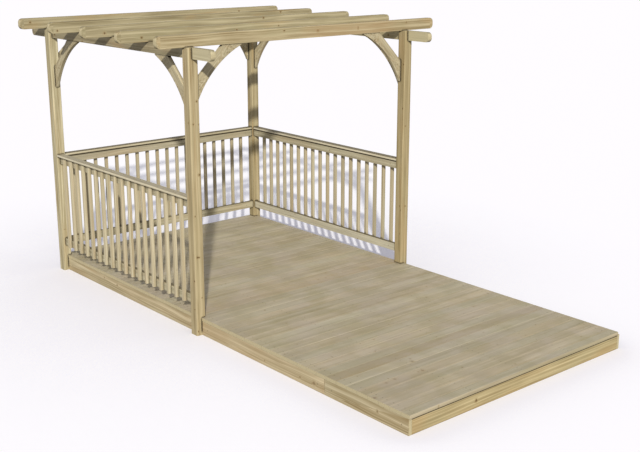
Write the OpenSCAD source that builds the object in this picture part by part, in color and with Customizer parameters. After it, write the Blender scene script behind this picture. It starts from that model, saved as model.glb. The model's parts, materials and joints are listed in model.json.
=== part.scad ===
// Garden pergola over the rear half of a raised timber deck.
// Four posts stand on the ground at the sides of the deck and carry two beams in notches.
// Five rafters lie across the beams, curved braces stiffen every corner, and a balustrade
// closes the left, back and right sides.  The deck's front half is open.
// +X is right, +Y is the rear, +Z is up.  The origin is on the ground, under the middle of
// the whole outline.

/* [Posts] */
// Side of the square posts
post_side = 90; // [70:1:120]
// Radius of the posts' rounded arrises
post_arris = 8; // [3:1:12]
// Distance between the posts' centres, left to right
span_x = 2400; // [1800:10:3000]
// Distance between the posts' centres, front to rear
span_y = 2390; // [1800:10:3000]
// Height of the posts' tops, where the rafters rest
post_h = 2415; // [2200:5:2700]
// Thickness of the tongue that rises to the left of the beam at the top of each post
tongue_t = 33; // [25:1:45]

/* [Beams and rafters] */
// Thickness of the beams
beam_t = 45; // [35:1:50]
// Depth of the beams, and of the notch that each post has for its beam
beam_d = 90; // [80:1:150]
// Length of the beams in front of the front posts' centres
beam_lead = 310; // [150:5:450]
// Length of the beams behind the rear posts' centres
beam_over = 375; // [150:5:450]
// Thickness of the rafters
rafter_t = 45; // [35:1:60]
// Depth of the rafters
rafter_d = 100; // [90:1:150]
// Length of the rafters to the left of the left posts' centres
rafter_lead = 305; // [150:5:450]
// Length of the rafters to the right of the right posts' centres
rafter_over = 365; // [150:5:450]
// Radius of the bullnosed ends of beams and rafters
nose_r = 38; // [10:1:39]

/* [Braces] */
// Thickness of the curved braces
brace_t = 34; // [30:1:60]
// Length of a brace along the post and along the beam or rafter
brace_leg = 470; // [400:5:600]
// Distance from the corner to where a brace first touches the timber
brace_gap = 280; // [150:5:300]
// Width of the blunt toes
brace_toe = 12; // [10:1:40]
// Width of a brace at its middle
brace_w = 79; // [70:1:125]

/* [Balustrade] */
// Height of the handrail's top above the deck boards
guard_h = 1037; // [900:1:1200]
// Width of the handrail board, whose outer edge is flush with the posts
cap_w = 80; // [70:1:90]
// Thickness of the handrail board
cap_t = 22; // [20:1:45]
// Radius of the handrail's rounded edges
cap_arris = 8; // [3:1:9]
// Depth of the two rails
rail_d = 75; // [60:1:100]
// Thickness of the two rails
rail_t = 40; // [30:1:50]
// Clear height under the bottom rail
rail_lift = 107; // [50:1:150]
// Distance that the spindles stand behind the handrail's outer edge
spindle_in = 5; // [0:1:8]
// Side of the square spindles
spindle_side = 30; // [20:1:40]
// Number of spindles in each panel
spindle_n = 18; // [12:1:24]
// Radius of the arrises of rails and spindles
rail_arris = 4; // [2:1:8]

/* [Deck] */
// Thickness of the deck boards, which run from left to right
board_t = 28; // [20:1:40]
// Length of the open deck in front of the posts
apron_l = 2470; // [1500:10:3000]
// Distance that the boards lie to the right of the posts' centres
deck_shift = 6; // [0:1:9]
// Thickness of the rim boards and fascias
rim_t = 28; // [20:1:40]
// Depth of the rim boards, fascias and joists
rim_d = 125; // [95:1:200]
// Distance that the frame's front end stands back under the first board's front edge
rim_back = 6; // [0:1:15]
// Thickness of the joists
joist_t = 45; // [35:1:60]
// Length of the fascias' front pieces, which cover the deck's front section
section_l = 880; // [500:10:1400]
// Gap between two fascia pieces that meet end to end
butt_gap = 2; // [1:0.5:4]
// Number of joists
joist_n = 5; // [4:1:7]
// Clearance of the deck boards round the posts
notch_gap = 2; // [1:0.5:5]

/* [Hidden] */
rafter_n = 5;

LEFT = -1;
RIGHT = 1;
FRONT = -1;
REAR = 1;

// Lengthways the outline runs from the deck's front edge to the beams' rear ends.
// Across it is as wide as the rafters.  mid_x and mid_y are the middle of the four posts.
post_half = post_side / 2;
deck_l = apron_l + span_y + post_side;
rear_y = (deck_l - post_half + beam_over) / 2 - beam_over;
front_y = rear_y - span_y;
mid_x = (rafter_lead - rafter_over) / 2;
mid_y = (front_y + rear_y) / 2;
deck_rear = rear_y + post_half;
deck_front = deck_rear - deck_l;
frame_front = deck_front + rim_back;
frame_l = deck_l - rim_back;

// The boards are as long as the posts' spacing.  They end flush with the left fascia's
// outer face, and the right fascia stands outside them as a narrow ledge.
board_len = span_x;
board_left = mid_x + deck_shift - span_x / 2;
board_right = board_left + board_len;
deck_z = rim_d + board_t;

clear_x = span_x - post_side;
clear_y = span_y - post_side;
cap_z = deck_z + guard_h - cap_t;
bottom_rail_z = deck_z + rail_lift;

wood_post = "#c3b78e";
wood_beam = "#bcae84";
wood_brace = "#c6ba92";
wood_rail = "#bfb48c";
wood_deck = "#b0a88c";
wood_frame = "#a89c74";

function post_x(side) = mid_x + side * span_x / 2;
function post_y(end) = end == FRONT ? front_y : rear_y;

// Middle of the beam on one side, which lies against the posts' tongues
function beam_x(side) = post_x(side) - post_half + tongue_t + beam_t / 2;

// Middle of a rafter over a post.  Its front face is on the post's centre.
function over_post(y) = y + rafter_t / 2;

// ---- shapes ----

// Rectangle centred on the origin with rounded corners
module rounded_rect(w, h, r) {
  square([w - 2 * r, h], center = true);
  square([w, h - 2 * r], center = true);
  for (sx = [-1, 1], sy = [-1, 1])
    translate([sx * (w / 2 - r), sy * (h / 2 - r)])
      circle(r = r, $fn = 48);
}

// Upright planed bar on z = 0, centred in x and y
module upright(w, d, h, r) {
  linear_extrude(h)
    rounded_rect(w, d, r);
}

// Planed bar along X, centred in x and y, with its underside on z = 0
module bar_x(l, t, d, r) {
  translate([-l / 2, 0, d / 2])
    rotate([90, 0, 90])
      linear_extrude(l)
        rounded_rect(t, d, r);
}

// Timber along X on edge with bullnosed ends, centred in x and y, underside on z = 0
module nosed_timber(l, t, d) {
  translate([0, t / 2, d / 2])
    rotate([90, 0, 0])
      linear_extrude(t)
        rounded_rect(l, d, nose_r);
}

// Curved brace in the XZ plane, centred on y = 0.  The corner that it stiffens is at the
// origin: one toe lies under the timber along +X, the other against the post along -Z.
// Its edge near the corner is straight, its edge at the opening is one arc.
module brace() {
  chord_mid = (brace_leg + brace_toe) / 2 * sqrt(2);
  arc_mid = brace_gap / 2 * sqrt(2) + brace_w;
  half_chord = (brace_leg - brace_toe) / 2 * sqrt(2);
  sag = chord_mid - arc_mid;
  arc_r = (half_chord * half_chord + sag * sag) / (2 * sag);
  arc_centre = (arc_mid + arc_r) / sqrt(2);
  color(wood_brace)
    translate([0, brace_t / 2, 0])
      rotate([90, 0, 0])
        linear_extrude(brace_t)
          difference() {
            polygon([
              [brace_gap, 0], [brace_leg, 0], [brace_leg, -brace_toe],
              [brace_toe, -brace_leg], [0, -brace_leg], [0, -brace_gap]
            ]);
            translate([arc_centre, -arc_centre])
              circle(r = arc_r, $fn = 180);
          }
}

// ---- frame ----

// Post from the ground to the rafters.  The notch for the beam is open to the right, and
// the tongue rises to its left.
module post(side, end) {
  color(wood_post)
    translate([post_x(side), post_y(end), 0])
      difference() {
        upright(post_side, post_side, post_h, post_arris);
        translate([tongue_t - post_half, -post_side, post_h - beam_d])
          cube([post_side, 2 * post_side, 2 * beam_d]);
      }
}

// Beam in the notches of the two posts on one side
module beam(side) {
  color(wood_beam)
    translate([beam_x(side), mid_y + (beam_over - beam_lead) / 2, post_h - beam_d])
      rotate([0, 0, 90])
        nosed_timber(beam_lead + span_y + beam_over, beam_t, beam_d);
}

// Rafter number i, counted from the front.  The first and last stand over the posts.
module rafter(i) {
  color(wood_beam)
    translate([0, over_post(front_y) + (i - 1) * span_y / (rafter_n - 1), post_h])
      nosed_timber(rafter_lead + span_x + rafter_over, rafter_t, rafter_d);
}

// Brace from a post to the underside of its beam
module beam_brace(side, end) {
  translate([beam_x(side), post_y(end) - end * post_half, post_h - beam_d])
    rotate([0, 0, -90 * end])
      brace();
}

// Brace from a post to the underside of the rafter over it
module rafter_brace(side, end) {
  translate([post_x(side) - side * post_half, over_post(post_y(end)), post_h])
    rotate([0, 0, side == LEFT ? 0 : 180])
      brace();
}

// ---- balustrade ----

// Places a panel that is drawn along X at the origin, with its outer side towards -Y
module on_side(name) {
  if (name == "left")
    translate([post_x(LEFT), mid_y, 0])
      rotate([0, 0, -90])
        children();
  if (name == "back")
    translate([mid_x, rear_y, 0])
      rotate([0, 0, 180])
        children();
  if (name == "right")
    translate([post_x(RIGHT), mid_y, 0])
      rotate([0, 0, 90])
        children();
}

function clear_of(name) = name == "back" ? clear_x : clear_y;

// Handrail board, which overhangs the spindles on one side and the top rail on the other
module handrail(name) {
  color(wood_rail)
    on_side(name)
      translate([0, (cap_w - post_side) / 2, cap_z])
        bar_x(clear_of(name), cap_w, cap_t, cap_arris);
}

// Rail on edge, its outer face against the spindles
module rail(name, z) {
  color(wood_rail)
    on_side(name)
      translate([0, -post_half + spindle_in + spindle_side + rail_t / 2, z])
        bar_x(clear_of(name), rail_t, rail_d, rail_arris);
}

// Spindles on the outer face of both rails, from the bottom rail's underside to the handrail
module spindles(name) {
  pitch = clear_of(name) / (spindle_n + 1);
  color(wood_rail)
    on_side(name)
      for (i = [1 : spindle_n])
        translate([i * pitch - clear_of(name) / 2,
                   -post_half + spindle_in + spindle_side / 2, bottom_rail_z])
          upright(spindle_side, spindle_side, cap_z - bottom_rail_z, rail_arris);
}

// ---- deck ----

// Layer of deck boards, notched round the posts
module deck_boards() {
  notch = post_side + 2 * notch_gap;
  color(wood_deck)
    difference() {
      translate([board_left, deck_front, rim_d])
        cube([board_len, deck_l, board_t]);
      for (side = [LEFT, RIGHT], end = [FRONT, REAR])
        translate([post_x(side) - notch / 2, post_y(end) - notch / 2, 0])
          cube([notch, notch, 2 * deck_z]);
    }
}

// Joists from rim to rim.  The two outer ones lie against the posts' inner faces.
module joists() {
  first_x = post_x(LEFT) + post_half;
  step = (clear_x - joist_t) / (joist_n - 1);
  color(wood_frame)
    for (i = [0 : joist_n - 1])
      translate([first_x + i * step, frame_front + rim_t, 0])
        cube([joist_t, frame_l - 2 * rim_t, rim_d]);
}

// Rim board across the front, between the two fascias
module rim_front() {
  color(wood_frame)
    translate([board_left + rim_t, frame_front, 0])
      cube([board_len - rim_t, rim_t, rim_d]);
}

// Rim board across the rear, between the rear posts
module rim_rear() {
  color(wood_frame)
    translate([mid_x - clear_x / 2, deck_rear - rim_t, 0])
      cube([clear_x, rim_t, rim_d]);
}

// Fascia along one side.  Its front piece meets the next one end to end, and the other
// pieces butt against the posts.
module fascia(side) {
  x = side == LEFT ? board_left : board_right;
  seam_y = deck_front + section_l;
  color(wood_frame) {
    translate([x, frame_front, 0])
      cube([rim_t, section_l - butt_gap - rim_back, rim_d]);
    translate([x, seam_y, 0])
      cube([rim_t, front_y - post_half - seam_y, rim_d]);
    translate([x, front_y + post_half, 0])
      cube([rim_t, clear_y, rim_d]);
  }
}

// ---- the nodes ----

post(LEFT, FRONT);  // post_front_left
post(RIGHT, FRONT);  // post_front_right
post(LEFT, REAR);  // post_rear_left
post(RIGHT, REAR);  // post_rear_right
beam(LEFT);  // beam_left
beam(RIGHT);  // beam_right
rafter(1);  // rafter_1
rafter(2);  // rafter_2
rafter(3);  // rafter_3
rafter(4);  // rafter_4
rafter(5);  // rafter_5
beam_brace(LEFT, FRONT);  // brace_front_left_beam
beam_brace(RIGHT, FRONT);  // brace_front_right_beam
beam_brace(LEFT, REAR);  // brace_rear_left_beam
beam_brace(RIGHT, REAR);  // brace_rear_right_beam
rafter_brace(LEFT, FRONT);  // brace_front_left_rafter
rafter_brace(RIGHT, FRONT);  // brace_front_right_rafter
rafter_brace(LEFT, REAR);  // brace_rear_left_rafter
rafter_brace(RIGHT, REAR);  // brace_rear_right_rafter
handrail("left");  // handrail_left
handrail("back");  // handrail_back
handrail("right");  // handrail_right
rail("left", cap_z - rail_d);  // top_rail_left
rail("back", cap_z - rail_d);  // top_rail_back
rail("right", cap_z - rail_d);  // top_rail_right
rail("left", bottom_rail_z);  // bottom_rail_left
rail("back", bottom_rail_z);  // bottom_rail_back
rail("right", bottom_rail_z);  // bottom_rail_right
spindles("left");  // spindles_left
spindles("back");  // spindles_back
spindles("right");  // spindles_right
deck_boards();
joists();
rim_front();
rim_rear();
fascia(LEFT);  // fascia_left
fascia(RIGHT);  // fascia_right
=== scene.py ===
# %% [markdown]
# # A timber pergola over a raised deck
# The construction comes from the CAD model: posts, beams, rafters, curved braces, a balustrade
# and the frame of the deck. This lesson gives the timber its grain, lays the single deck boards,
# drives the screws and lights the whole. Every length is in metres, in the CAD's own frame.

# %% Load the frame
import json
import math
import random

import bpy
import bmesh
from mathutils import Euler, Matrix, Vector


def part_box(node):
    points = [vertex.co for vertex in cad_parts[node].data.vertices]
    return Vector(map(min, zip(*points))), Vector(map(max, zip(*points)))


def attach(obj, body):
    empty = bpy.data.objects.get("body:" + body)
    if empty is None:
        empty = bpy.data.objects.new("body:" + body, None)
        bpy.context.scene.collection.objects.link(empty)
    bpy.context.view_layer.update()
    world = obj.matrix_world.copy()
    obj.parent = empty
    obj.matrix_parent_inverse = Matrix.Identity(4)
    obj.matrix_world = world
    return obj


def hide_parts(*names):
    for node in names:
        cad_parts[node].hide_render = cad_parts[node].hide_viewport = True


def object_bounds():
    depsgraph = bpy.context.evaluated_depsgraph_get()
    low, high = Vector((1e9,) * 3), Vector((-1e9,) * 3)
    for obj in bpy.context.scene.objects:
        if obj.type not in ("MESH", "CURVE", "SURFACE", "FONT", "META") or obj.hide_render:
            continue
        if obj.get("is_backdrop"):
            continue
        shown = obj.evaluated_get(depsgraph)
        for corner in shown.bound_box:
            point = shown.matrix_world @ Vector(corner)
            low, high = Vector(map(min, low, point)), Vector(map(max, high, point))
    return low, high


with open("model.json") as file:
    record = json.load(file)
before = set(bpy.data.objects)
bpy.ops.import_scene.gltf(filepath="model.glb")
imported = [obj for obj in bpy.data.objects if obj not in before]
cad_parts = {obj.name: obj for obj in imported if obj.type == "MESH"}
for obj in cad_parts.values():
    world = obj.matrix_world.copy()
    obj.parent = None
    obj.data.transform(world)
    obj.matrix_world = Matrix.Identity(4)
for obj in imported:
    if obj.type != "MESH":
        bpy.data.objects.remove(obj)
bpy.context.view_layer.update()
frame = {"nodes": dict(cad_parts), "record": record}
nodes = frame["nodes"]

# %% [markdown]
# ## The camera
# The view looks over the front left corner of the deck from well above the handrail. A long
# lens keeps the posts nearly parallel. The turn, the tilt and the roll are three angles in
# radians, so each can be read by itself.

# %% Camera
scene = bpy.context.scene
turn, tilt, roll = 0.7052, -0.2687, -0.0003

camera_data = bpy.data.cameras.new("camera")
camera_data.sensor_width = 36.0     # in millimetres, as the lens is
camera_data.lens = 59.0175
camera = bpy.data.objects.new("camera", camera_data)
scene.collection.objects.link(camera)
camera.location = (-5.869, -7.165, 3.254)
camera.rotation_euler = (math.pi / 2 + tilt, roll, -turn)
scene.camera = camera
print("camera looks", round(math.degrees(-tilt), 1), "degrees down through a lens of",
      round(camera_data.lens, 1), "mm")

# %% [markdown]
# ## Light
# One low sun stands behind the viewer's left shoulder. It lights the front and the left sides
# and throws the rafters' shadows across the beams and the ground. An evenly pale sky fills the
# shadows. The sun's disc is drawn a little wide, so that a near shadow is crisp and a far one
# is soft, as out of doors. Colours are written as the hex codes that a screen shows, and one
# function turns them into the linear values that light adds up in.

# %% Sun
scene.view_settings.view_transform = "Standard"


def linear(hex_code):
    """An sRGB hex colour as linear RGBA."""
    values = [int(hex_code[i:i + 2], 16) / 255 for i in (1, 3, 5)]
    return [v / 12.92 if v <= 0.04045 else ((v + 0.055) / 1.055) ** 2.4 for v in values] + [1.0]


sun_way = Vector((0.744, 1.0, -0.649)).normalized()
sun_data = bpy.data.lights.new("sun", "SUN")
sun_data.energy = 3.5
sun_data.angle = math.radians(1.6)
sun_data.color = linear("#fff9ee")[:3]
sun = bpy.data.objects.new("sun", sun_data)
scene.collection.objects.link(sun)
sun.rotation_euler = sun_way.to_track_quat("-Z", "Y").to_euler()
print("sun stands", round(math.degrees(math.asin(-sun_way.z)), 1), "degrees high")

# %% [markdown]
# ## The surroundings
# Nodes are made all through this lesson, so one small function adds a node, sets it, and fills
# its inputs with plain values or with other nodes. The world uses it first. What the eye sees
# behind the pergola is plain white, but the light that reaches the timber is weaker than that.

# %% The world
def add(tree, kind, inputs=None, **settings):
    """Adds a node, sets its settings, and fills its inputs with values, sockets or nodes."""
    made = tree.nodes.new(kind)
    for name, value in settings.items():
        setattr(made, name, value)
    for key, value in (inputs or {}).items():
        if isinstance(value, bpy.types.Node):
            value = next(socket for socket in value.outputs if socket.enabled)
        if isinstance(value, bpy.types.NodeSocket):
            tree.links.new(value, made.inputs[key])
        else:
            made.inputs[key].default_value = value
    return made


world = bpy.data.worlds.new("surroundings")
scene.world = world
world.use_nodes = True
sky = world.node_tree
sky.nodes.clear()
path = add(sky, "ShaderNodeLightPath")
seen = add(sky, "ShaderNodeMath", {0: path.outputs["Is Camera Ray"],
                                   1: path.outputs["Is Glossy Ray"]}, operation="MAXIMUM")
fill = add(sky, "ShaderNodeBackground", {"Color": linear("#faf9ff"), "Strength": 0.47})
white = add(sky, "ShaderNodeBackground", {"Color": (1, 1, 1, 1), "Strength": 1.0})
both = add(sky, "ShaderNodeMixShader", {0: seen, 1: fill, 2: white})
add(sky, "ShaderNodeOutputWorld", {"Surface": both})
print("world nodes", len(sky.nodes))

# %% [markdown]
# ## The floor
# A plain pale studio floor. The eye sees it nearly white with a cool, pale shadow, so part of
# what the camera sees is added as a glow. The glow dims a little near the deck, where a real
# floor sees less sky. The timber gets only the floor's own modest bounce.

# %% Floor
A, B = 6, 7             # the sockets in which a Mix node keeps its two colours
floor_reach = 60.0
sky_reach = 3.0         # how near the deck has to be to take sky from the floor

floor_mat = bpy.data.materials.new("studio_floor")
floor_mat.use_nodes = True
tree = floor_mat.node_tree
tree.nodes.clear()
path = add(tree, "ShaderNodeLightPath")
bounce = add(tree, "ShaderNodeBsdfDiffuse", {"Color": (0.30, 0.295, 0.29, 1)})
open_sky = add(tree, "ShaderNodeAmbientOcclusion", {"Distance": sky_reach}, samples=8)
near = add(tree, "ShaderNodeMapRange", {"Value": open_sky.outputs["AO"], "From Min": 0.88})
pale = add(tree, "ShaderNodeMix", {0: near, A: (0.43, 0.39, 0.56, 1), B: (1.0, 0.955, 1.03, 1)},
           data_type="RGBA")
lit = add(tree, "ShaderNodeBsdfDiffuse", {"Color": (0.84, 0.855, 0.90, 1)})
glow = add(tree, "ShaderNodeEmission", {"Color": pale, "Strength": 0.19})
shown = add(tree, "ShaderNodeAddShader", {0: lit, 1: glow})
mixed = add(tree, "ShaderNodeMixShader", {0: path.outputs["Is Camera Ray"], 1: bounce, 2: shown})
add(tree, "ShaderNodeOutputMaterial", {"Surface": mixed})

mesh = bpy.data.meshes.new("floor")
mesh.from_pydata([(x * floor_reach, y * floor_reach, 0)
                  for x, y in ((-1, -1), (1, -1), (1, 1), (-1, 1))], [], [(0, 1, 2, 3)])
mesh.materials.append(floor_mat)
floor = bpy.data.objects.new("floor", mesh)
scene.collection.objects.link(floor)
floor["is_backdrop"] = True
print("floor", 2 * floor_reach, "m square")

# %% [markdown]
# ## Where a piece lay in its tree
# The timber is planed softwood, soaked under pressure in a green copper preservative that fades
# to pale tan. Its grain could be drawn as stripes along each face, but then a face and its
# neighbour would not agree at the corner. Here the grain is solid: each piece gets a place
# inside a tree, and whatever cuts that tree shows the right lines. So the first step turns the
# piece until its length is the tree's upright axis. Loose pieces of one part, such as the
# spindles, each jump to another height in the tree. The deck boards are laid later, and bring
# their place along as an attribute.

# %% A place in the tree
upright = {"X": (0, -math.pi / 2, 0), "Y": (math.pi / 2, 0, 0), "Z": (0, 0, 0)}
farthest_jump = (0.02, 0.0, 23.0)       # a little across the stem, and far along it


def place_in_tree(tree, along, middle, attribute):
    """The point in metres across and along the tree, before and after the pieces are parted."""
    if attribute:
        point = add(tree, "ShaderNodeAttribute", attribute_name=attribute).outputs["Vector"]
        return point, point
    point = add(tree, "ShaderNodeVectorMath", {
        0: add(tree, "ShaderNodeTexCoord").outputs["Object"], 1: tuple(middle)},
        operation="SUBTRACT")
    point = add(tree, "ShaderNodeVectorRotate", {"Vector": point, "Rotation": along},
                rotation_type="EULER_XYZ")
    jump = add(tree, "ShaderNodeVectorMath", {
        0: farthest_jump, "Scale": add(tree, "ShaderNodeNewGeometry").outputs[
            "Random Per Island"]}, operation="SCALE")
    return point, add(tree, "ShaderNodeVectorMath", {0: point, 1: jump}, operation="ADD")


print("a post stands as it grew, a rafter is turned through",
      [round(math.degrees(angle)) for angle in upright["X"]], "degrees")

# %% [markdown]
# A piece from the very middle of its tree would show the same rings on all sides, so each is
# moved to a random side of the stem, 4 to 9 cm from the middle. The stem isn't straight
# either: a slow noise pushes its middle up to 2 cm aside, which bends the lines on a long face.

# %% A side of the stem
nearest, farthest = 0.04, 0.09
wander = 0.02


def beside_heart(tree, parted, chance, attribute):
    """The place in a stem that wanders slowly, with the piece on a random side of it."""
    angle, far = chance.uniform(0, 2 * math.pi), chance.uniform(nearest, farthest)
    heart = Vector((0, 0, 0) if attribute else (far * math.cos(angle), far * math.sin(angle), 0))
    shift = Vector((0, 0, chance.uniform(-9, 9)))
    parted = add(tree, "ShaderNodeVectorMath", {0: parted, 1: heart + shift}, operation="ADD")
    slow = add(tree, "ShaderNodeVectorMath", {0: parted, 1: (2.2, 2.2, 0.9)},
               operation="MULTIPLY")
    drift = add(tree, "ShaderNodeTexNoise", {"Vector": slow, "Scale": 1.0, "Detail": 2.0})
    drift = add(tree, "ShaderNodeVectorMath", {
        0: drift.outputs["Color"], 1: (2 * wander, 2 * wander, 0), 2: (-wander, -wander, 0)},
        operation="MULTIPLY_ADD")
    return add(tree, "ShaderNodeVectorMath", {0: parted, 1: drift}, operation="ADD")


print("a piece lies", nearest * 100, "to", farthest * 100, "cm from the middle of its tree")

# %% [markdown]
# ## Knots
# A knot is a branch that the saw went through. Each branch is a straight ray that starts in the
# middle of the stem, so a face that it leaves at right angles shows a round knot, and a face
# that it runs along shows a long one. A whorl is the set of branches of one year, and two
# simple sets of them grow here at random heights. What counts is the distance to the nearest
# branch, measured in that branch's own radius of 2 to 9 mm.

# %% Branches
no_branch = 50.0        # added behind a branch's root, in radii: too far to show
whorl_gaps = (0.23, 0.41)


def branch(tree, point, way, thick):
    """The distance of a point from one branch, in branch radii."""
    beside = add(tree, "ShaderNodeVectorMath", {0: point, 1: way}, operation="CROSS_PRODUCT")
    gap = add(tree, "ShaderNodeVectorMath", {0: beside}, operation="LENGTH")
    ahead = add(tree, "ShaderNodeVectorMath", {0: point, 1: way}, operation="DOT_PRODUCT")
    behind = add(tree, "ShaderNodeMath", {0: ahead, 1: 0.0}, operation="LESS_THAN")
    near = add(tree, "ShaderNodeMath", {0: gap, 1: thick}, operation="DIVIDE")
    return add(tree, "ShaderNodeMath", {0: behind, 1: no_branch, 2: near},
               operation="MULTIPLY_ADD")


def whorl(tree, wood, spacing, seed, share, thick):
    """One branch in each stretch of the stem, at a random height and in a random direction."""
    x, y, z = add(tree, "ShaderNodeSeparateXYZ", {0: wood}).outputs
    count = add(tree, "ShaderNodeMath", {0: z, 1: spacing}, operation="DIVIDE")
    stretch = add(tree, "ShaderNodeMath", {0: count}, operation="FLOOR")
    dice = add(tree, "ShaderNodeTexWhiteNoise", {
        "W": add(tree, "ShaderNodeMath", {0: stretch, 1: seed}, operation="ADD")},
        noise_dimensions="1D")
    height, turned, luck = add(tree, "ShaderNodeSeparateColor", {
        0: dice.outputs["Color"]}).outputs
    within = add(tree, "ShaderNodeMath", {0: count}, operation="FRACT")
    rise = add(tree, "ShaderNodeMath", {0: within, 1: add(
        tree, "ShaderNodeMapRange", {"Value": height, "To Min": 0.2, "To Max": 0.8})},
        operation="SUBTRACT")
    rise = add(tree, "ShaderNodeMath", {0: rise, 1: spacing}, operation="MULTIPLY")
    angle = add(tree, "ShaderNodeMath", {0: turned, 1: 2 * math.pi}, operation="MULTIPLY")
    way = add(tree, "ShaderNodeCombineXYZ", {
        "X": add(tree, "ShaderNodeMath", {0: angle}, operation="COSINE"),
        "Y": add(tree, "ShaderNodeMath", {0: angle}, operation="SINE")})
    size = add(tree, "ShaderNodeMapRange", {"Value": luck, "From Min": 1 - share,
                                            "To Min": 0.4 * thick, "To Max": thick})
    grown = add(tree, "ShaderNodeMath", {0: luck, 1: 1 - share}, operation="GREATER_THAN")
    size = add(tree, "ShaderNodeMath", {0: size, 1: grown}, operation="MULTIPLY")
    size = add(tree, "ShaderNodeMath", {0: size, 1: 0.0001}, operation="MAXIMUM")
    return branch(tree, add(tree, "ShaderNodeCombineXYZ", {"X": x, "Y": y, "Z": rise}), way, size)


print("a branch may leave the stem once in every", whorl_gaps, "m")

# %% [markdown]
# A listed knot is a branch that starts a little under its face and comes straight out.
# Its root is turned into the tree with the rest of the piece. The deck boards bring their place
# in the tree along and say nothing there of where they lie, so their knots are placed on the
# deck itself. A noise then makes every knot's outline a little ragged.

# %% All the knots
knot_depth = 0.03


def nearest_knot(tree, wood, point, along, middle, attribute, seed, share, thick, spots):
    """The distance in radii from the nearest knot, and how strongly its halo shows."""
    near = add(tree, "ShaderNodeMath", {
        0: whorl(tree, wood, whorl_gaps[0], seed + 1.7, share, thick),
        1: whorl(tree, wood, whorl_gaps[1], seed + 5.3, share, thick)}, operation="MINIMUM")
    turned, seat = Euler(along).to_matrix(), point
    if attribute:
        turned, seat = Matrix.Identity(3), add(tree, "ShaderNodeTexCoord").outputs["Object"]
    for spot, outwards, size in spots:
        root = turned @ (Vector(spot) - Vector(middle) - knot_depth * Vector(outwards))
        start = add(tree, "ShaderNodeVectorMath", {0: seat, 1: root}, operation="SUBTRACT")
        near = add(tree, "ShaderNodeMath", {0: near, 1: branch(
            tree, start, turned @ Vector(outwards), size)}, operation="MINIMUM")
    ragged = add(tree, "ShaderNodeTexNoise", {"Vector": point, "Scale": 120.0})
    near = add(tree, "ShaderNodeMath", {0: ragged, 1: 0.7, 2: near}, operation="MULTIPLY_ADD")
    near = add(tree, "ShaderNodeMath", {0: near, 1: 0.35}, operation="SUBTRACT")
    halo = add(tree, "ShaderNodeMapRange", {"Value": near, "From Min": 3.0, "From Max": 1.0},
               interpolation_type="SMOOTHSTEP")
    return near, halo


print("knots placed by hand start", knot_depth * 1000, "mm under the face")

# %% [markdown]
# ## Growth rings
# Rings are cylinders round the stem's middle, which wanders slowly, so a cut along the stem
# opens them into long pointed figures. Spring wood is pale and darkens slowly until winter
# stops it at a sharp line. Rings of 3 to 6 mm would vanish at this distance, so they are drawn
# 7.5 mm apart, and bands of good and bad years, 15 to 30 mm wide, give the stripes that the eye
# picks out from afar. Round a knot the rings bend aside.

# %% Rings and bands
ring_gap, band_width = 0.0075, 0.015
knot_bend = 0.007       # how far the rings move aside at a knot
winter = ((0.45, 0.2), (0.8, 0.75), (0.93, 1.0))    # how dark a ring is on its way outwards


def growth(tree, wood, halo, ring):
    """The darkness of the ring and of the band at a point."""
    x, y, z = add(tree, "ShaderNodeSeparateXYZ", {0: wood}).outputs
    radius = add(tree, "ShaderNodeVectorMath", {
        0: add(tree, "ShaderNodeCombineXYZ", {"X": x, "Y": y})}, operation="LENGTH")
    radius = add(tree, "ShaderNodeMath", {0: halo, 1: knot_bend, 2: radius},
                 operation="MULTIPLY_ADD")
    long = add(tree, "ShaderNodeVectorMath", {0: wood, 1: (1, 1, 0.02)}, operation="MULTIPLY")
    wavy = add(tree, "ShaderNodeTexNoise", {"Vector": long, "Scale": 45.0, "Detail": 3.0})
    count = add(tree, "ShaderNodeMath", {0: radius, 1: ring}, operation="DIVIDE")
    count = add(tree, "ShaderNodeMath", {0: wavy, 1: 1.6, 2: count}, operation="MULTIPLY_ADD")
    within = add(tree, "ShaderNodeMath", {0: count}, operation="FRACT")
    rings = add(tree, "ShaderNodeValToRGB", {0: within})
    rings.color_ramp.elements[1].color = (0.1, 0.1, 0.1, 1)
    for place, value in winter:
        rings.color_ramp.elements.new(place).color = (value, value, value, 1)
    years = add(tree, "ShaderNodeTexNoise", {
        "W": add(tree, "ShaderNodeMath", {0: count, 1: ring / band_width},
                 operation="MULTIPLY"),
        "Scale": 1.0, "Detail": 1.5}, noise_dimensions="1D")
    return rings.outputs["Color"], years


print("rings drawn", ring_gap * 1000, "mm apart")

# %% [markdown]
# ## Colour of the timber
# Patterns of different widths darken the pale wood together: the rings, the bands of years,
# fibres, streaks 5 to 15 mm wide, and slow blotches. A real fibre is far too thin to show, so
# the fibres stand for bundles of them, about a millimetre wide. The patterns' sum is one
# number, so no pattern hides another. Then come the slow changes: green where the preservative
# is strong, warm where the reddish heartwood shows. Knots go on last, dark brown with a thin
# warm edge.

# %% Colours
fibre = (0.0011, 0.012, 3, 0.3)     # width across, squeeze along the grain, detail, weight
streak_shape = (0.013, 0.018, 4)
ring_weight, year_weight = 0.2, 1.5
copper_green, knot_edge, knot_brown = "#a5a17e", "#8f7546", "#665136"


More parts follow.
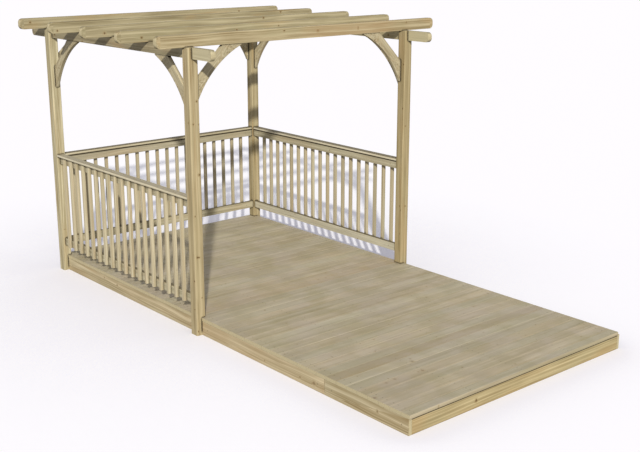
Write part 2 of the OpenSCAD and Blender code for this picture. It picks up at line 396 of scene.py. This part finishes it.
def timber_colour(tree, wood, rings, years, near, halo, light, dark, tint, warmth, blotch,
                  streaks):
    """The timber's colour, and the pattern of its slow blotches."""
    darkness = add(tree, "ShaderNodeMath", {0: rings, 1: ring_weight}, operation="MULTIPLY")
    patterns = [(years, year_weight)]
    for width, stretch, detail, weight in (fibre, (*streak_shape, streaks), blotch):
        long = add(tree, "ShaderNodeVectorMath", {0: wood, 1: (1, 1, stretch)},
                   operation="MULTIPLY")
        noise = add(tree, "ShaderNodeTexNoise", {"Vector": long, "Scale": 1 / width,
                                                 "Detail": detail, "Roughness": 0.6})
        patterns.append((noise, weight))
    for pattern, weight in patterns:
        darkness = add(tree, "ShaderNodeMath", {0: pattern, 1: weight, 2: darkness},
                       operation="MULTIPLY_ADD")
    middle = 0.07 + 0.5 * sum(weight for _, weight in patterns)
    darkness = add(tree, "ShaderNodeMapRange", {"Value": darkness, "From Min": middle - 0.54,
                                                "From Max": middle + 0.58})
    colour = add(tree, "ShaderNodeMix", {0: darkness, A: linear(light), B: linear(dark)},
                 data_type="RGBA")

    patches = add(tree, "ShaderNodeTexNoise", {"Vector": add(
        tree, "ShaderNodeVectorMath", {0: wood, 1: (1, 1, 0.3)}, operation="MULTIPLY"),
        "Scale": 5.0, "Detail": 2.0})
    green, warm, _ = add(tree, "ShaderNodeSeparateColor", {0: patches.outputs["Color"]}).outputs
    for patch, low, much, hue in ((green, 0.48, 0.55, copper_green), (warm, 0.50, 0.60, warmth)):
        cover = add(tree, "ShaderNodeMapRange", {
            "Value": patch, "From Min": low, "From Max": low + 0.17, "To Max": much * tint},
            interpolation_type="SMOOTHSTEP")
        colour = add(tree, "ShaderNodeMix", {0: cover, A: colour, B: linear(hue)},
                     data_type="RGBA")

    edge = add(tree, "ShaderNodeMath", {0: halo, 1: 0.35}, operation="MULTIPLY")
    colour = add(tree, "ShaderNodeMix", {0: edge, A: colour, B: linear(knot_edge)},
                 data_type="RGBA")
    knot = add(tree, "ShaderNodeMapRange", {"Value": near, "From Min": 1.25, "From Max": 0.75,
                                            "To Max": 0.85}, interpolation_type="SMOOTHSTEP")
    colour = add(tree, "ShaderNodeMix", {0: knot, A: colour, B: linear(knot_brown)},
                 data_type="RGBA")
    return colour, noise


print("green where the copper is strong", [round(v, 2) for v in linear(copper_green)[:3]])

# %% [markdown]
# ## Differences between trees, and within one
# Three more changes are for some pieces only. Spindles and boards come from many trees, so each
# one leans towards three other hues by its own amounts. A floor is walked and rained on across
# its boards, so grey and yellow areas there don't stop at a joint. And a long piece may show
# reddish heartwood, or wood that is paler or darker, along its bands between two heights.

# %% Mixed stock, footmarks and heartwood
stock_hues = ("#80755a", "#b5b197", "#c3a985")      # browner, greener, redder
dusty, damp_yellow = "#aaa095", "#8d8460"


def mixed_stock(tree, colour, attribute, spread):
    """Gives each loose piece a tone of its own, since they come from different trees."""
    if attribute:
        own = add(tree, "ShaderNodeAttribute", attribute_name="tone").outputs["Color"]
    else:
        own = add(tree, "ShaderNodeTexWhiteNoise", {"W": add(
            tree, "ShaderNodeNewGeometry").outputs["Random Per Island"]},
            noise_dimensions="1D").outputs["Color"]
    for amount, hue in zip(add(tree, "ShaderNodeSeparateColor", {0: own}).outputs, stock_hues):
        much = add(tree, "ShaderNodeMath", {0: amount, 1: spread}, operation="MULTIPLY")
        colour = add(tree, "ShaderNodeMix", {0: much, A: colour, B: linear(hue)},
                     data_type="RGBA")
    return colour


def footmarks(tree, colour, much):
    """Greys and yellows whole areas of a floor, across its boards."""
    areas = add(tree, "ShaderNodeTexNoise", {"Vector": add(
        tree, "ShaderNodeTexCoord").outputs["Object"], "Scale": 3.5, "Detail": 3.0})
    dust, damp, _ = add(tree, "ShaderNodeSeparateColor", {0: areas.outputs["Color"]}).outputs
    for area, hue in ((dust, dusty), (damp, damp_yellow)):
        cover = add(tree, "ShaderNodeMapRange", {"Value": area, "From Min": 0.4,
                                                 "From Max": 0.65, "To Max": much},
                    interpolation_type="SMOOTHSTEP")
        colour = add(tree, "ShaderNodeMix", {0: cover, A: colour, B: linear(hue)},
                     data_type="RGBA")
    return colour


def heartwood(tree, colour, point, years, start, stop, hue, much):
    """Stains the timber along its bands between two heights in the tree."""
    height = add(tree, "ShaderNodeSeparateXYZ", {0: point}).outputs["Z"]
    rise = add(tree, "ShaderNodeMapRange", {"Value": height, "From Min": start - 0.1,
                                            "From Max": start + 0.1})
    fall = add(tree, "ShaderNodeMapRange", {"Value": height, "From Min": stop + 0.1,
                                            "From Max": stop - 0.1})
    bands = add(tree, "ShaderNodeMapRange", {"Value": years, "From Min": 0.35, "From Max": 0.6,
                                             "To Min": 0.3 * much, "To Max": much})
    cover = add(tree, "ShaderNodeMath", {0: rise, 1: fall}, operation="MULTIPLY")
    cover = add(tree, "ShaderNodeMath", {0: cover, 1: bands}, operation="MULTIPLY")
    return add(tree, "ShaderNodeMix", {0: cover, A: colour, B: linear(hue)}, data_type="RGBA")


print("hues of mixed stock", stock_hues)

# %% [markdown]
# ## Age, exposure and painted shade
# Sawn ends drink more preservative, and their rings stand out. Top faces that rain and dust
# reach go grey-brown. Where two pieces meet, painted shade with some dirt draws a dark line,
# which is what lets the eye count the pieces. Ambient Occlusion finds those places from the
# shape alone, and the lowest centimetres of the timber, which the floor would darken too, are
# left out. Under an overhanging board a painted shadow darkens the top centimetre of the piece
# below, so that piece gets a painted shadow line with a height and a strength.

# %% Weathering and painted shade
joint_reach = 0.018
foot_without_shade, foot_end = 0.015, 0.04          # the painted joint shade and dirt start above the first height
shadow_start, shadow_full = 0.014, 0.008      # how far below its edge a painted shadow starts, and is full
# The last colour is the painted shade, with some dirt, in the joints, and the painted shadow
# lines.
end_light, end_dark, rain_brown, shade_and_dirt_brown = "#cac09e", "#8c7a56", "#5c5239", "#332b1f"


def weather_and_painted_shade(tree, colour, rings, grain_way, top, dirt, shadow_line):
    """Adds end grain, weathered tops, painted joint shade with dirt, and painted shadow lines."""
    surface = add(tree, "ShaderNodeNewGeometry").outputs["True Normal"]
    across = add(tree, "ShaderNodeVectorMath", {0: surface, 1: tuple(grain_way)},
                 operation="DOT_PRODUCT")
    across = add(tree, "ShaderNodeMath", {0: across}, operation="ABSOLUTE")
    end = add(tree, "ShaderNodeMapRange", {"Value": across, "From Min": 0.72, "From Max": 0.95},
              interpolation_type="SMOOTHSTEP")
    dark = add(tree, "ShaderNodeMath", {0: rings, 1: 0.6}, operation="MULTIPLY")
    sawn = add(tree, "ShaderNodeMix", {0: dark, A: linear(end_light), B: linear(end_dark)},
               data_type="RGBA")
    colour = add(tree, "ShaderNodeMix", {0: end, A: colour, B: sawn}, data_type="RGBA")

    z = add(tree, "ShaderNodeSeparateXYZ", {0: surface}).outputs["Z"]
    rained = add(tree, "ShaderNodeMapRange", {"Value": z, "From Min": 0.5, "From Max": 0.9,
                                              "To Max": top}, interpolation_type="SMOOTHSTEP")
    colour = add(tree, "ShaderNodeMix", {0: rained, A: colour, B: linear(rain_brown)},
                 data_type="RGBA")

    # Painted shade: occlusion darkens the joints and crevices where shade falls, with some dirt.
    open_sky = add(tree, "ShaderNodeAmbientOcclusion", {"Distance": joint_reach}, samples=6)
    shade_and_dirt_mask = add(tree, "ShaderNodeMapRange", {
        "Value": open_sky.outputs["AO"], "From Min": 0.97, "From Max": 0.65, "To Max": dirt},
        interpolation_type="SMOOTHSTEP")
    height = add(tree, "ShaderNodeSeparateXYZ", {
        0: add(tree, "ShaderNodeTexCoord").outputs["Object"]}).outputs["Z"]
    raised = add(tree, "ShaderNodeMapRange", {"Value": height, "From Min": foot_without_shade,
                                              "From Max": foot_end})
    shade_and_dirt_mask = add(tree, "ShaderNodeMath", {0: shade_and_dirt_mask, 1: raised}, operation="MULTIPLY")
    # Painted shadow: a dark band just below the edge of an overhanging cap or board.
    if shadow_line:
        edge, much = shadow_line
        damp = add(tree, "ShaderNodeMapRange", {
            "Value": height, "From Min": edge - shadow_start, "From Max": edge - shadow_full,
            "To Max": much})
        shade_and_dirt_mask = add(tree, "ShaderNodeMath", {0: shade_and_dirt_mask, 1: damp}, operation="MAXIMUM")
    return add(tree, "ShaderNodeMix", {0: shade_and_dirt_mask, A: colour, B: linear(shade_and_dirt_brown)},
               data_type="RGBA")


print("dirt gathers within", joint_reach * 1000, "mm of a joint")

# %% [markdown]
# ## The finished timber
# The cells above meet in one material. Planed softwood is matt, so its roughness starts at 0.56
# and rises in the darker blotches, and its IOR of 1.45 is that of dry wood and stain. The late
# wood of each ring stands a fraction of a millimetre proud, which breaks up the light. What the
# function's words mean:
#
# - `light` and `dark` are the two ends of its colour, `tint` the strength of the green and of
#   the `warmth`, and `ring` the width of a ring.
# - `share` says how many branches are grown, `thick` their greatest radius, and `spots` lists
#   the knots given one by one.
# - `streaks` is the weight of the streaks, and `blotch` the width, stretch, detail and weight of
#   the slow pattern.
# - `spread` is the difference between loose pieces, `trodden` the strength of the footmarks,
#   and `band` the start and end of the heartwood from the piece's middle, its hue and strength.
# - `top` is the rain's work on top faces, `dirt` the painted shade and dirt of the
#   joints, `shadow_line` a painted shadow's height and strength, and `gloss` the sheen.

# %% The timber material
def timber(name, axis, middle, seed, light="#d3c7a5", dark="#85744f", tint=0.4, top=0.0,
           share=0.35, thick=0.009, spots=(), attribute=None, spread=0.0, ring=ring_gap,
           band=None, dirt=0.9, shadow_line=None, gloss=0.25, warmth="#b8925e",
           blotch=(0.06, 0.12, 2, 0.9), streaks=1.2, trodden=0.0):
    """Treated softwood with its grain along X, Y, Z or a tilted direction."""
    chance = random.Random(seed)
    made = bpy.data.materials.new(name)
    made.use_nodes = True
    tree = made.node_tree
    tree.nodes.clear()
    way = Vector({"X": (1, 0, 0), "Y": (0, 1, 0), "Z": (0, 0, 1)}.get(axis, axis)).normalized()
    along = upright.get(axis) or tuple(way.to_track_quat("Z", "Y").inverted().to_euler())
    point, parted = place_in_tree(tree, along, middle, attribute)
    wood = beside_heart(tree, parted, chance, attribute)
    near, halo = nearest_knot(tree, wood, point, along, middle, attribute, seed, share, thick,
                              spots)
    rings, years = growth(tree, wood, halo, ring)
    colour, blotches = timber_colour(tree, wood, rings, years, near, halo, light, dark, tint,
                                     warmth, blotch, streaks)
    if spread:
        colour = mixed_stock(tree, colour, attribute, spread)
    if trodden:
        colour = footmarks(tree, colour, trodden)
    if band:
        colour = heartwood(tree, colour, point, years, *band)
    colour = weather_and_painted_shade(tree, colour, rings, way, top, dirt, shadow_line)

    relief = add(tree, "ShaderNodeMath", {0: rings, 1: 0.5, 2: blotches},
                 operation="MULTIPLY_ADD")
    bump = add(tree, "ShaderNodeBump", {"Height": relief, "Strength": 0.5, "Distance": 0.0006})
    rough = add(tree, "ShaderNodeMapRange", {"Value": blotches, "To Min": 0.56, "To Max": 0.74})
    shader = add(tree, "ShaderNodeBsdfPrincipled", {
        "Base Color": colour, "Roughness": rough, "Normal": bump, "IOR": 1.45,
        "Specular IOR Level": gloss})
    add(tree, "ShaderNodeOutputMaterial", {"Surface": shader})
    return made


print("timber material ready")

# %% [markdown]
# ## Stock for each kind of piece
# The posts are warm, the beams and rafters browner, the rails greyer, because each kind is sawn
# from other logs and meets other weather. A handrail and a rafter take the rain on their tops.
# The braces are sawn from a broad plank, in which the rings lie wider.

# %% Stock
stock = {
    "post": {"light": "#d3c6a3", "dark": "#877651", "tint": 0.35},
    "beam": {"light": "#bdb393", "dark": "#756a4b", "tint": 0.4, "top": 0.5},
    "brace": {"light": "#cdc4a7", "dark": "#897c5e", "tint": 0.3, "ring": 0.011},
    "rail": {"light": "#c8c2a9", "dark": "#8b836b", "tint": 0.25, "top": 0.9, "thick": 0.006,
             "dirt": 0.5},
    "frame": {"light": "#e7d9b5", "dark": "#8f7c54", "tint": 0.45},
}
print("kinds of stock", list(stock))

# %% [markdown]
# ## Pieces that differ from their kind
# No two trees match, so many pieces have their own two colours. The beams turn pale over their
# front ends, the front rafter shows red heartwood in its right half, and the left fascia is
# darker along its front length. The rails under a handrail, the left spindles, and the front rim
# under the first board carry a painted shadow line just below the overhang above them.

# %% Single pieces
under_cap, under_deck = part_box("top_rail_left")[1].z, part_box("rim_front")[1].z
single = {
    "post_front_left": {"light": "#cdc09c", "dark": "#867553", "tint": 0.2},
    "post_front_right": {"light": "#bfb18c", "dark": "#796844"},
    "post_rear_left": {"light": "#d9d1b2", "dark": "#8b7d59"},
    "post_rear_right": {"light": "#c3b693", "dark": "#7f704e"},
    "beam_left": {"light": "#b0a68a", "dark": "#695e46", "band": (-1.7, -1.17, "#d3ccab", 0.8)},
    "beam_right": {"band": (-1.7, -1.17, "#cec7a6", 0.7)},
    "rafter_1": {"light": "#cbbf9d", "dark": "#806e4a", "band": (0.0, 1.0, "#ab906b", 0.5)},
    "rafter_2": {"light": "#c6bc9b", "dark": "#7a6f4f"},
    "handrail_left": {"light": "#e8e1ca", "dark": "#a9a085", "top": 0.5},
    "handrail_back": {"light": "#dcd5bd", "dark": "#a59c80"},
    "handrail_right": {"light": "#eee8d4", "dark": "#b1a88c"},
    # Below, the rails, the left spindles and the front rim get a painted shadow under an
    # overhang.
    "top_rail_left": {"shadow_line": (under_cap, 0.6)},
    "top_rail_back": {"light": "#b8b19a", "dark": "#7f7761", "shadow_line": (under_cap, 1.0)},
    "top_rail_right": {"shadow_line": (under_cap, 1.0)},
    "bottom_rail_right": {"light": "#cfcbb8", "dark": "#918b77"},
    "spindles_left": {"light": "#e5dec4", "dark": "#a69c7e", "shadow_line": (under_cap, 0.6)},
    "fascia_left": {"light": "#f5e8c5", "dark": "#857249",
                    "band": (-2.6, -1.6, "#8f7c54", 0.5)},
    "fascia_right": {"light": "#d6c9a6", "dark": "#84734f", "top": 0.35},
    "rim_front": {"light": "#cec097", "dark": "#84714a", "share": 0.0,
                  "shadow_line": (under_deck, 1.0)},
}
print("pieces with a look of their own", len(single))

# %% [markdown]
# ## Knots given one by one
# Chance puts most knots where nobody looks. These stand out on the faces that the eye meets
# first. Each is a point on the surface, the way that the face looks, and a radius.

# %% Knots that stand out
front, left, up = (0, -1, 0), (-1, 0, 0), (0, 0, 1)
knots = {
    "post_front_left": [((-1.209, -0.170, 1.988), front, 0.006),
                        ((-1.246, -0.170, 1.806), front, 0.006),
                        ((-1.193, -0.170, 1.800), front, 0.005),
                        ((-1.257, -0.170, 1.044), front, 0.005),
                        ((-1.232, -0.170, 0.687), front, 0.006),
                        ((-1.215, -0.170, 0.330), front, 0.004)],
    "post_front_right": [((1.172, -0.170, 0.732), front, 0.006),
                         ((1.125, -0.140, 0.734), left, 0.006),
                         ((1.150, -0.170, 1.520), front, 0.005)],
    "rafter_1": [((-0.273, -0.125, 2.492), front, 0.007),
                 ((0.100, -0.125, 2.474), front, 0.009),
                 ((1.180, -0.125, 2.490), front, 0.006)],
    "rafter_2": [((-1.304, 0.472, 2.453), front, 0.007), ((-0.333, 0.472, 2.465), front, 0.007)],
    "rafter_3": [((-1.315, 1.070, 2.449), front, 0.009), ((0.421, 1.070, 2.498), front, 0.007)],
    "rafter_4": [((-1.459, 1.668, 2.438), front, 0.008), ((1.105, 1.668, 2.493), front, 0.008)],
    "rafter_5": [((-1.434, 2.265, 2.478), front, 0.008), ((1.000, 2.265, 2.480), front, 0.008)],
    "beam_left": [((-1.242, -0.270, 2.400), left, 0.006)],
    "fascia_left": [((-1.224, -1.640, 0.052), left, 0.012),
                    ((-1.224, -2.325, 0.073), left, 0.007),
                    ((-1.224, 1.250, 0.080), left, 0.008)],
    "rim_front": [((-0.544, -2.634, 0.060), front, 0.010)],
}
print("knots placed by hand", sum(len(spots) for spots in knots.values()))

# %% [markdown]
# ## Timber on the CAD pieces
# The grain runs along a piece. A brace is sawn from a straight plank, so its grain runs from
# toe to toe and leaves the curved edge at a slant. Each piece's number in the sorted list seeds
# its tree, so the same piece always looks the same.

# %% Dress the CAD pieces
first_seed, loose_spread = 11, 0.3


def grain_axis(name, low, high):
    """The way the grain runs: along the longest side, or from toe to toe in a brace."""
    if name.startswith("brace"):
        side, end = 1 if "left" in name else -1, 1 if "front" in name else -1
        return (side, 0, 1) if name.endswith("rafter") else (0, end, 1)
    if name.startswith("spindles"):
        return "Z"
    size = high - low
    return "Y" if name == "joists" else "XYZ"[max(range(3), key=lambda i: size[i])]


slot_of = {row["node"]: row["material_slot"] for row in frame["record"]["subparts"]}
for number, (name, piece) in enumerate(sorted(nodes.items())):
    kind = slot_of[name]
    if kind == "deck":
        continue
    low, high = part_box(name)
    loose = name.startswith(("spindles", "joists", "fascia"))
    look = {**stock[kind], **single.get(name, {})}
    wood = timber("softwood_" + name, grain_axis(name, low, high), (low + high) / 2,
                  first_seed + number, spots=knots.get(name, ()),
                  spread=loose_spread if loose else 0.0, **look)
    piece.data.materials.clear()
    piece.data.materials.append(wood)
print("dressed", len(nodes) - 1, "pieces")

# %% [markdown]
# ## Eased arrises
# A planer leaves no knife-sharp edge. Two modifiers leave the CAD mesh as it is and still round
# it: Weld joins the corners of neighbouring faces, and Bevel then takes the sharp edges off.
# The narrow round catches the light as a bright line along the piece.

# %% Ease the edges
arris, spindle_arris = 0.0025, 0.0012
for name, piece in nodes.items():
    weld = piece.modifiers.new("weld", "WELD")
    weld.merge_threshold = 0.00001
    bevel = piece.modifiers.new("eased_arris", "BEVEL")
    bevel.width = spindle_arris if name.startswith("spindles") else arris
    bevel.segments = 2
    bevel.limit_method = "ANGLE"
    bevel.angle_limit = math.radians(35)
print("eased edges on", len(nodes), "pieces")

# %% [markdown]
# ## Deck boards
# The boards lie across the joists with a narrow gap between them, so that rain drains away. The
# CAD has them as one layer. Here they are sawn one by one. The deck isn't a whole number of
# boards long, so the first and the last are ripped narrower, and a board that meets a post is
# cut round it.

# %% Outline of a board
deck_low, deck_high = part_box("deck_boards")
board_gap, post_margin = 0.002, 0.002
first_board, board_pitch = 0.0844, 0.1114
too_thin = 0.001        # a cut thinner than this isn't sawn
joints = [deck_low.y, deck_low.y + first_board]
while joints[-1] + board_pitch < deck_high.y:
    joints.append(joints[-1] + board_pitch)
joints.append(deck_high.y + board_gap)


def board_outline(y0, y1):
    """The corners of a board seen from above, cut round each post that it meets."""
    sides = {"left": [(deck_low.x, y0), (deck_low.x, y1)],
             "right": [(deck_high.x, y0), (deck_high.x, y1)]}
    for end in ("front", "rear"):
        for side in sides:
            low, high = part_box(f"post_{end}_{side}")
            a, b = max(low.y - post_margin, y0), min(high.y + post_margin, y1)
            if b - a < too_thin:
                continue
            outer = sides[side][0][0]
            inner = high.x + post_margin if side == "left" else low.x - post_margin
            cut = [(inner, a), (inner, b)]
            if a > y0 + too_thin:
                cut = [(outer, y0), (outer, a)] + cut
            if b < y1 - too_thin:
                cut = cut + [(outer, b), (outer, y1)]
            sides[side] = cut
    return sides["left"] + sides["right"][::-1]


print("boards", len(joints) - 1, "of", round((board_pitch - board_gap) * 1000, 1), "mm")

# %% [markdown]
# Each board is sawn from its own place in a tree, 2 to 8 cm from the middle and to either side
# of it. That place and the board's tone are stored on its corners, because the boards of one
# delivery never match. Most tones are left to chance, and three browner boards are set.

# %% Saw and lay the boards
chance = random.Random(5)
# How much browner, greener and redder, by the board's number from the front.
brown_boards = {7: (1.6, 0.0, 0.4, 1.0), 23: (0.9, 0.0, 0.8, 1.0), 24: (0.7, 0.0, 0.7, 1.0)}
boards = bmesh.new()
grain = boards.verts.layers.float_vector.new("grain")
tone = boards.verts.layers.float_color.new("tone")
for row, (y0, y1) in enumerate(zip(joints, joints[1:])):
    y1 -= board_gap
    cut_from = Vector((chance.choice((-1, 1)) * chance.uniform(0.02, 0.08),
                       chance.uniform(-0.03, 0.03), chance.uniform(-20, 20)))
    shade = (chance.random() ** 2, chance.random(), 0.5 * chance.random(), 1.0)
    shade = brown_boards.get(row, shade)
    loops = []
    for z in (deck_low.z, deck_high.z):
        loops.append([])
        for x, y in board_outline(y0, y1):
            corner = boards.verts.new((x, y, z))
            corner[grain] = Vector((deck_high.z - z, y - (y0 + y1) / 2, x)) + cut_from
            corner[tone] = shade
            loops[-1].append(corner)
    bottom, top = loops
    boards.faces.new(bottom)
    boards.faces.new(top[::-1])
    for i in range(len(top)):
        boards.faces.new((bottom[i], bottom[i - 1], top[i - 1], top[i]))
bmesh.ops.recalc_face_normals(boards, faces=boards.faces)
print("board faces", len(boards.faces))

# %% [markdown]
# ## The deck as one piece
# The laid boards are one piece that stands for the CAD layer, which stays in the model for
# collisions, hidden. Only the two long upper edges of a board are eased, as a planer leaves
# them, and its ends stay square.

# %% Deck piece
board_arris, long_edge = 0.0035, 1.0
mesh = bpy.data.meshes.new("deck_boards_laid")
boards.to_mesh(mesh)
boards.free()
deck = bpy.data.objects.new("deck_boards_laid", mesh)
scene.collection.objects.link(deck)
weights = mesh.attributes.new("bevel_weight_edge", "FLOAT", "EDGE")
for edge in mesh.edges:
    a, b = (mesh.vertices[i].co for i in edge.vertices)
    weights.data[edge.index].value = float(
        min(a.z, b.z) > deck_low.z and abs(a.x - b.x) > long_edge)
bevel = deck.modifiers.new("eased_edges", "BEVEL")
bevel.width = board_arris
bevel.segments = 2
bevel.limit_method = "WEIGHT"
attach(deck, "root")
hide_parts("deck_boards")
print("deck", [round(v, 3) for v in deck.dimensions])

# %% [markdown]
# The boards' own softwood is greyer than the posts', since the deck takes the rain and the
# feet. It has few knots, and those near the front left corner are given one by one. The grain
# attribute already stands upright in the tree, so nothing is turned here. The front board's
# long front face gets a paler material of its own.

# %% Deck timber
deck_knot_radius = 0.011
deck_knots = [((x, y, deck_high.z), up, deck_knot_radius) for x, y in (
    (-1.209, -2.279), (-0.969, -2.148), (-0.873, -2.139), (-0.606, -2.159), (-0.541, -1.986))]
deck_look = {"tint": 0.5, "attribute": "grain", "share": 0.3, "thick": 0.007, "dirt": 0.1,
             "gloss": 0.5, "warmth": "#b09e7c", "blotch": (0.07, 0.07, 2, 1.5), "streaks": 0.9}
mesh.materials.append(timber("softwood_deck", "X", (0, 0, 0), 3, "#bfb6a0", "#8b8269",
                             spread=0.32, trodden=0.35, spots=deck_knots, **deck_look))
mesh.materials.append(timber("softwood_deck_edge", "X", (0, 0, 0), 4, "#c2b69b", "#8f8469",
                             **deck_look))
pale_faces = [face for face in mesh.polygons
              if face.normal.y < -0.9 and face.center.y < deck_low.y + 0.001]
for face in pale_faces:
    face.material_index = 1
print("faces of the pale front edge", len(pale_faces))

# %% [markdown]
# ## Screws
# Each board is held by two screws at every joist, and each rail by one near its end. A screw
# head is a shallow cone with a rounded rim and a recess for the driver. All the heads are one
# mesh, turned to the face that they are driven into.

# %% One screw head
heads = bmesh.new()
profile = ((0.0040, -0.0012), (0.0042, 0.0), (0.0034, 0.0005), (0.0016, 0.0004),
           (0.0014, -0.0010))       # radius and height, from the rim to the recess
head_sides = 8


def drive(x, y, z, facing):
    """Adds one screw head at a point, facing outwards."""
    turned = Vector(facing).to_track_quat("Z", "Y").to_matrix()
    rings = []
    for radius, height in profile:
        rings.append([heads.verts.new(Vector((x, y, z)) + turned @ Vector((
            radius * math.cos(k * 2 * math.pi / head_sides),
            radius * math.sin(k * 2 * math.pi / head_sides), height)))
            for k in range(head_sides)])
    for outer, inner in zip(rings, rings[1:]):
        for k in range(head_sides):
            heads.faces.new((outer[k - 1], outer[k], inner[k], inner[k - 1]))
    heads.faces.new(rings[-1])


print("a screw head is", 2000 * max(radius for radius, _ in profile), "mm wide")

# %% [markdown]
# The joists stand under the deck at equal centres, and the first and the last centre lie half a
# joist inside their box. A hand that drives a few hundred screws is a few millimetres out, so
# each one in the deck is moved by chance. A fascia is screwed at its front end, on both sides
# of its seam, and near the posts.

# %% Drive the screws
joist_count, joist_half = 5, 0.0225
edge_inset, rail_inset, hand_error = 0.022, 0.094, 0.002
fascia_screws, fascia_height = (-2.565, -1.84, -1.68, -0.25, 0.0, 2.14), 0.061

joist_low, joist_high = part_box("joists")
for y0, y1 in zip(joints, joints[1:]):
    for k in range(joist_count):
        x = joist_low.x + joist_half + k * (joist_high.x - joist_low.x - 2 * joist_half) / (
            joist_count - 1)
        for y in (y0 + edge_inset, y1 - board_gap - edge_inset):
            drive(x, y + chance.uniform(-hand_error, hand_error), deck_high.z, up)
for part in ("top_rail", "bottom_rail"):        # each on the face that looks at the deck
    for side, face in (("left", (1, 0, 0)), ("right", left), ("back", front)):
        low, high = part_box(f"{part}_{side}")
        middle = (low + high) / 2
        for end in (rail_inset, -rail_inset):
            if side == "back":
                drive((low.x if end > 0 else high.x) + end, low.y, middle.z, face)
            else:
                drive(high.x if side == "left" else low.x,
                      (low.y if end > 0 else high.y) + end, middle.z, face)
for y in fascia_screws:
    for side, face in (("left", -1), ("right", 1)):
        low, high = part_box(f"fascia_{side}")
        drive(low.x if face < 0 else high.x, y, fascia_height, (face, 0, 0))
bmesh.ops.recalc_face_normals(heads, faces=heads.faces)
print("screw faces", len(heads.faces))

# %% [markdown]
# The screws are steel with a tan corrosion-proof coating, the usual kind for treated timber. A
# coated metal shows a dull, slightly uneven sheen, so it is half metallic and fairly rough. Its
# specks are about a millimetre wide.

# %% Coated steel
mesh = bpy.data.meshes.new("screw_heads")
heads.to_mesh(mesh)
heads.free()
screws = bpy.data.objects.new("screw_heads", mesh)
scene.collection.objects.link(screws)
coated = bpy.data.materials.new("coated_steel")
coated.use_nodes = True
tree = coated.node_tree
tree.nodes.clear()
worn = add(tree, "ShaderNodeTexNoise", {"Scale": 900.0, "Detail": 2.0, "Vector": add(
    tree, "ShaderNodeTexCoord").outputs["Object"]})
colour = add(tree, "ShaderNodeMix", {0: worn, A: linear("#5d5340"), B: linear("#7d7259")},
             data_type="RGBA")
rough = add(tree, "ShaderNodeMapRange", {"Value": worn, "To Min": 0.4, "To Max": 0.6})
shader = add(tree, "ShaderNodeBsdfPrincipled", {"Base Color": colour, "Roughness": rough,
                                                "Metallic": 0.5})
add(tree, "ShaderNodeOutputMaterial", {"Surface": shader})
mesh.materials.append(coated)
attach(screws, "root")
print("screw heads", len(mesh.polygons) // (head_sides * (len(profile) - 1) + 1))

# %% [markdown]
# ## Size
# The box of the dressed model is printed.

# %% Sizes
low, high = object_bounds()
print("visual box", [round(v, 3) for v in high - low])
